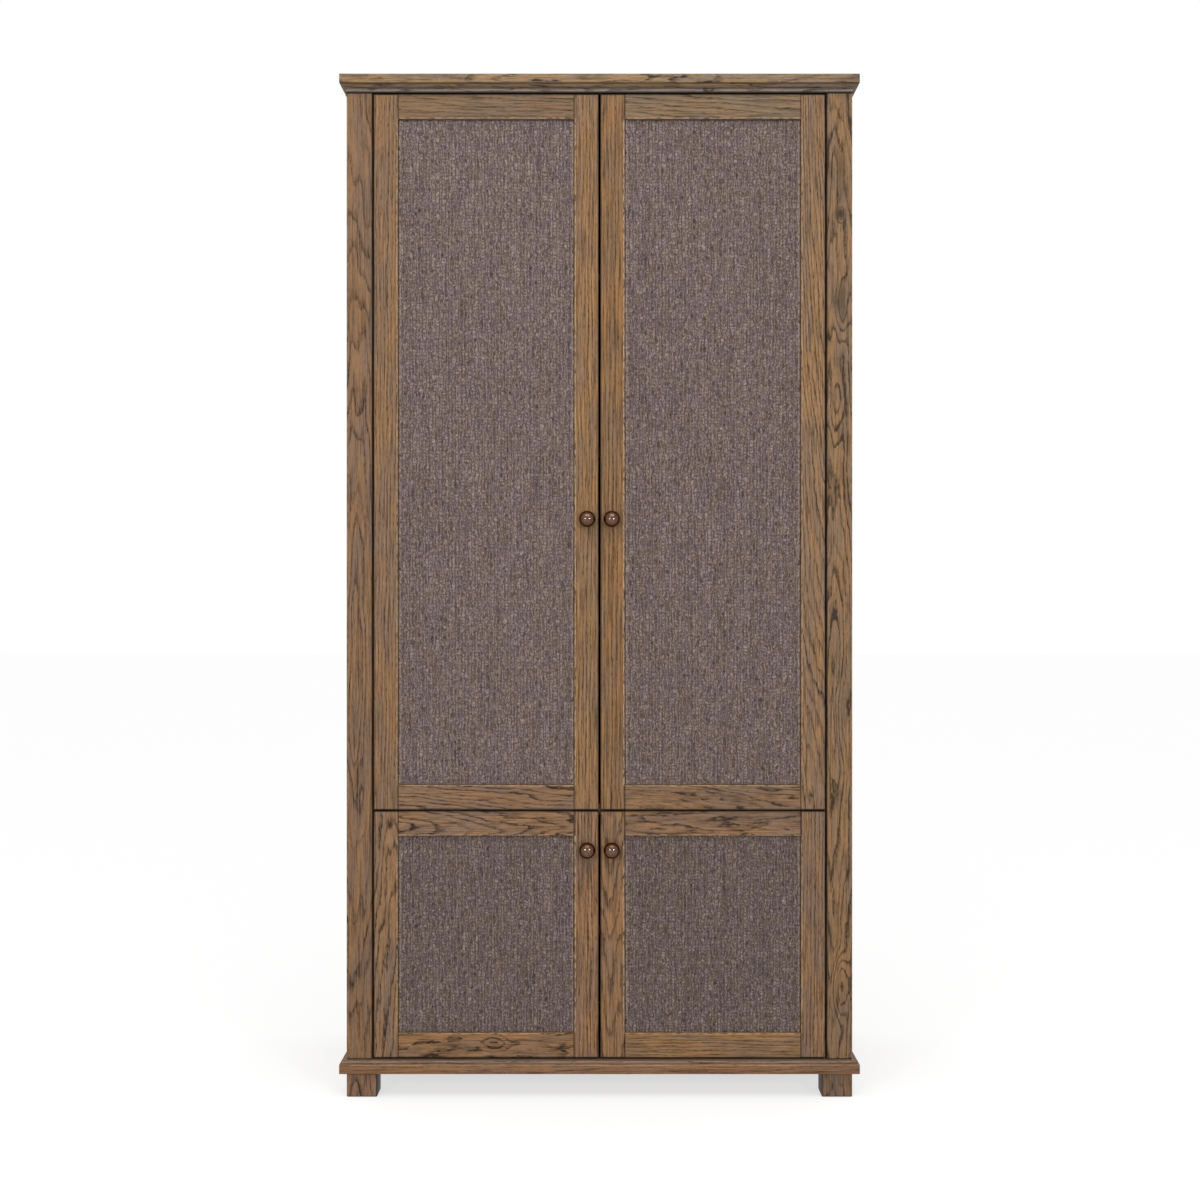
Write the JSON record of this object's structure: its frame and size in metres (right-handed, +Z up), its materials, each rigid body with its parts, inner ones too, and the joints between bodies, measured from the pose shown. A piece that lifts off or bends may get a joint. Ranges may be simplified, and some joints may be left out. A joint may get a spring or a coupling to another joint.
{
  "type": "tall cabinet",
  "caption": "Tall wooden cabinet on square feet, with long framed fabric-panel doors over short ones, ball knobs, shelves inside and moulded top and base boards.",
  "frame": {"origin": "on the floor, in the middle of the object's outline from above, knobs included", "axes": "+Z up, -Y towards the front where the doors open, +X to the right as seen from the front"},
  "size_m": [1.016, 0.578, 2],
  "materials": {
    "oak_outside": "brown-grey stained oak, satin lacquer",
    "oak_inside": "lighter oak veneer, satin lacquer",
    "panel_fabric": "woven taupe fabric with light and dark slubs",
    "knob_bronze": "dark antique bronze, polished by handling",
    "hinge_nickel": "nickel plate"
  },
  "bodies": {
    "carcass": {"base_board": "oak_outside", "cornice_board": "oak_outside", "left_front_post": "oak_outside", "right_front_post": "oak_outside", "left_side_panel": "oak_outside", "right_side_panel": "oak_outside", "front_left_foot": "oak_outside", "front_right_foot": "oak_outside", "back_left_foot": "oak_outside", "back_right_foot": "oak_outside", "back_panel": "oak_inside", "middle_shelf": "oak_inside", "lower_shelf": "oak_inside", "upper_shelf_1": "oak_inside", "upper_shelf_2": "oak_inside", "upper_shelf_3": "oak_inside", "lower_left_door_hinge_arm_1": "hinge_nickel", "lower_left_door_hinge_arm_2": "hinge_nickel", "lower_right_door_hinge_arm_1": "hinge_nickel", "lower_right_door_hinge_arm_2": "hinge_nickel", "upper_left_door_hinge_arm_1": "hinge_nickel", "upper_left_door_hinge_arm_2": "hinge_nickel", "upper_left_door_hinge_arm_3": "hinge_nickel", "upper_right_door_hinge_arm_1": "hinge_nickel", "upper_right_door_hinge_arm_2": "hinge_nickel", "upper_right_door_hinge_arm_3": "hinge_nickel"},
    "lower_left_door": {"lower_left_door_outer_stile": "oak_outside", "lower_left_door_inner_stile": "oak_outside", "lower_left_door_top_rail": "oak_outside", "lower_left_door_bottom_rail": "oak_outside", "lower_left_door_fabric_panel": "panel_fabric", "lower_left_door_knob": "knob_bronze", "lower_left_door_hinge_cup_1": "hinge_nickel", "lower_left_door_hinge_cup_2": "hinge_nickel"},
    "lower_right_door": {"lower_right_door_outer_stile": "oak_outside", "lower_right_door_inner_stile": "oak_outside", "lower_right_door_top_rail": "oak_outside", "lower_right_door_bottom_rail": "oak_outside", "lower_right_door_fabric_panel": "panel_fabric", "lower_right_door_knob": "knob_bronze", "lower_right_door_hinge_cup_1": "hinge_nickel", "lower_right_door_hinge_cup_2": "hinge_nickel"},
    "upper_left_door": {"upper_left_door_outer_stile": "oak_outside", "upper_left_door_inner_stile": "oak_outside", "upper_left_door_top_rail": "oak_outside", "upper_left_door_bottom_rail": "oak_outside", "upper_left_door_fabric_panel": "panel_fabric", "upper_left_door_knob": "knob_bronze", "upper_left_door_hinge_cup_1": "hinge_nickel", "upper_left_door_hinge_cup_2": "hinge_nickel", "upper_left_door_hinge_cup_3": "hinge_nickel"},
    "upper_right_door": {"upper_right_door_outer_stile": "oak_outside", "upper_right_door_inner_stile": "oak_outside", "upper_right_door_top_rail": "oak_outside", "upper_right_door_bottom_rail": "oak_outside", "upper_right_door_fabric_panel": "panel_fabric", "upper_right_door_knob": "knob_bronze", "upper_right_door_hinge_cup_1": "hinge_nickel", "upper_right_door_hinge_cup_2": "hinge_nickel", "upper_right_door_hinge_cup_3": "hinge_nickel"}
  },
  "joints": [
    {"name": "lower_left_door_hinge", "type": "hinge", "parent": "carcass", "child": "lower_left_door", "pos_m": [-0.4435, -0.256, 0.077], "axis": [0, 0, -1], "range_deg": [0, 105]},
    {"name": "lower_right_door_hinge", "type": "hinge", "parent": "carcass", "child": "lower_right_door", "pos_m": [0.4435, -0.256, 0.077], "axis": [0, 0, 1], "range_deg": [0, 105]},
    {"name": "upper_left_door_hinge", "type": "hinge", "parent": "carcass", "child": "upper_left_door", "pos_m": [-0.4435, -0.256, 0.5625], "axis": [0, 0, -1], "range_deg": [0, 105]},
    {"name": "upper_right_door_hinge", "type": "hinge", "parent": "carcass", "child": "upper_right_door", "pos_m": [0.4435, -0.256, 0.5625], "axis": [0, 0, 1], "range_deg": [0, 105]}
  ]
}
